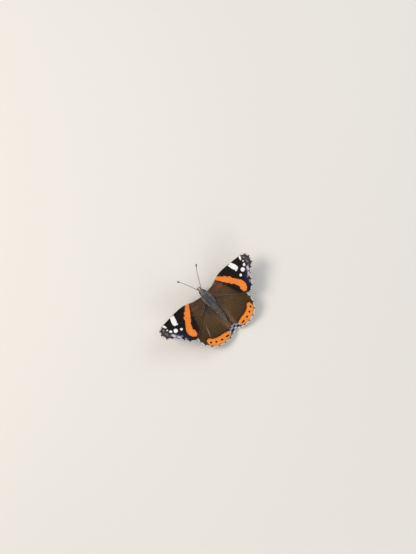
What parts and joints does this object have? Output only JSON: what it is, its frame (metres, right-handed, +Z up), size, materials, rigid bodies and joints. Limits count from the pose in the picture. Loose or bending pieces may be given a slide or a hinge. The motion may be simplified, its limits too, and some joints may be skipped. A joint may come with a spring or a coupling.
{
  "type": "red admiral butterfly",
  "caption": "Still life-size model of a basking red admiral butterfly, its wings spread nearly flat, standing on its walking legs.",
  "frame": {"origin": "under the middle of the whole insect, at the level of its feet", "axes": "+X to the insect's right, +Y the way its head points, +Z up"},
  "size_m": [0.0624, 0.0408, 0.0144],
  "materials": {
    "wing_scales": "matte scales",
    "fur": "short hair",
    "eye": "satin",
    "horn": "satin",
    "leg": "matte"
  },
  "bodies": {
    "root": {"abdomen": "fur", "antenna_left": "horn", "antenna_right": "horn", "eye_left": "eye", "eye_right": "eye", "fore_femur_left": "leg", "fore_femur_right": "leg", "fore_tibia_left": "leg", "fore_tibia_right": "leg", "forewing_left": "wing_scales", "forewing_right": "wing_scales", "head": "fur", "hind_femur_left": "leg", "hind_femur_right": "leg", "hind_tarsus_left": "leg", "hind_tarsus_right": "leg", "hind_tibia_left": "leg", "hind_tibia_right": "leg", "hindwing_left": "wing_scales", "hindwing_right": "wing_scales", "mid_femur_left": "leg", "mid_femur_right": "leg", "mid_tarsus_left": "leg", "mid_tarsus_right": "leg", "mid_tibia_left": "leg", "mid_tibia_right": "leg", "palp_left": "fur", "palp_right": "fur", "proboscis": "horn", "thorax": "fur"}
  },
  "joints": []
}
